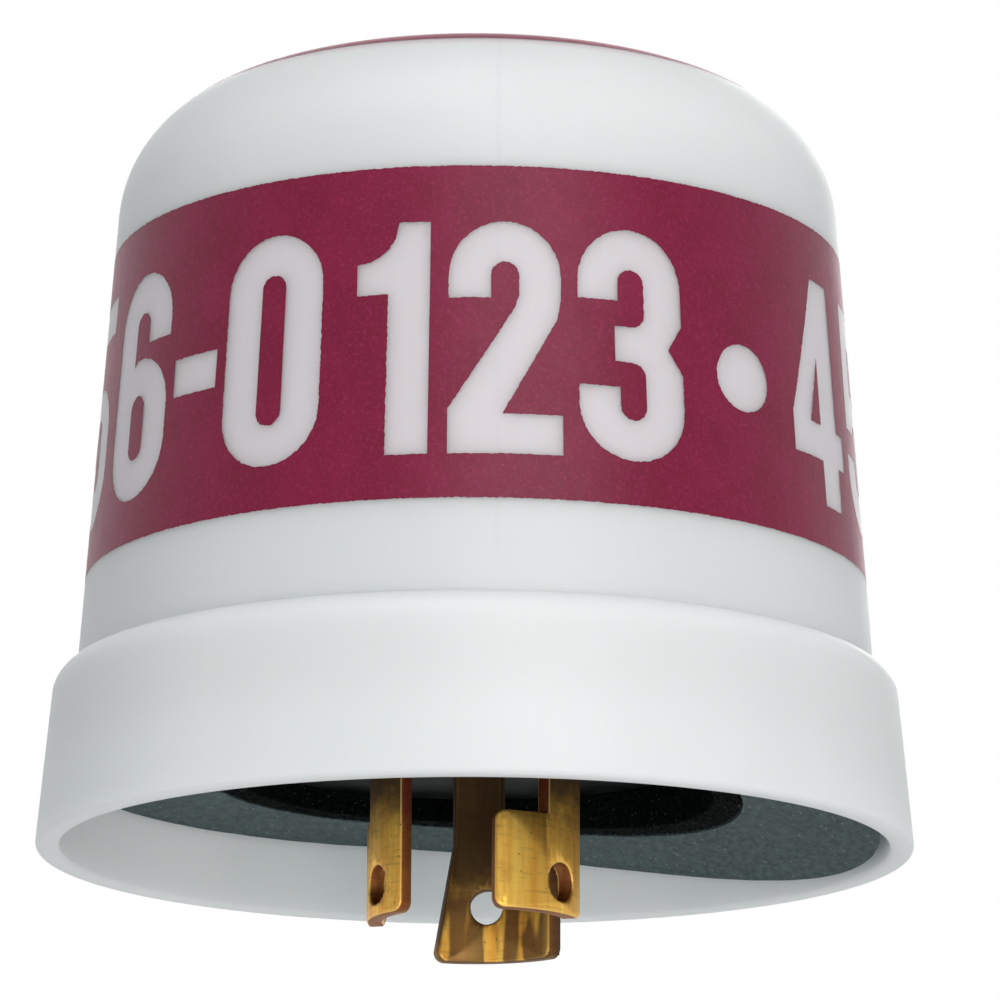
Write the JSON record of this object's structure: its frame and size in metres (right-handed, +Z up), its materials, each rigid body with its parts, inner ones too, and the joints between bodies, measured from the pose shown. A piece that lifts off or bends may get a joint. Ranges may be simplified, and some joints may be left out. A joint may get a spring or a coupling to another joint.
{
  "type": "photocell switch",
  "caption": "Plug-in twist-lock photocell switch: drafted translucent cover with a skirt and a printed band, curved brass locking blades and a foam gasket inside the skirt.",
  "frame": {"origin": "on the axis, level with the lip of the skirt, where the plug meets its receptacle", "axes": "+Z up the axis to the top of the cover, -Y the side that shows the flat of the line blade's tab"},
  "size_m": [0.084, 0.0838, 0.0834],
  "materials": {
    "cover_plastic": "satin, translucent white",
    "base_plastic": "smooth moulded, near black",
    "fibre": "matt slate-grey fibre sheet",
    "foam": "open black foam",
    "blade_brass": "drawn, with brown tarnish",
    "clamp_laminate": "paper laminate",
    "screw_steel": "zinc plated",
    "board_laminate": "coated glass laminate",
    "relay_case": "moulded",
    "arrester_coat": "dipped epoxy",
    "film_case": "moulded",
    "can_sleeve": "shrunk sleeve",
    "diode_body": "moulded epoxy",
    "zener_glass": "glass body",
    "resistor_coat": "lacquer",
    "dropper_coat": "flameproof coat",
    "cell_face": "clear resin over a ceramic disc",
    "stand_plastic": "moulded",
    "solder": "bright solder"
  },
  "bodies": {
    "root": {"cover": "cover_plastic", "base_plate": "base_plastic", "fibre_washer": "fibre", "foam_gasket": "foam", "line_blade": "blade_brass", "load_blade": "blade_brass", "neutral_blade": "blade_brass", "clamp_plate": "clamp_laminate", "clamp_screw": "screw_steel", "circuit_board": "board_laminate", "board_screws": "screw_steel", "relay": "relay_case", "surge_arrester": "arrester_coat", "film_capacitor": "film_case", "smoothing_capacitor": "can_sleeve", "bridge_diodes": "diode_body", "zener_diode": "zener_glass", "signal_resistors": "resistor_coat", "dropper_resistor": "dropper_coat", "transistor": "diode_body", "photocell": "cell_face", "photocell_stand": "stand_plastic", "solder_joints": "solder"}
  },
  "joints": []
}
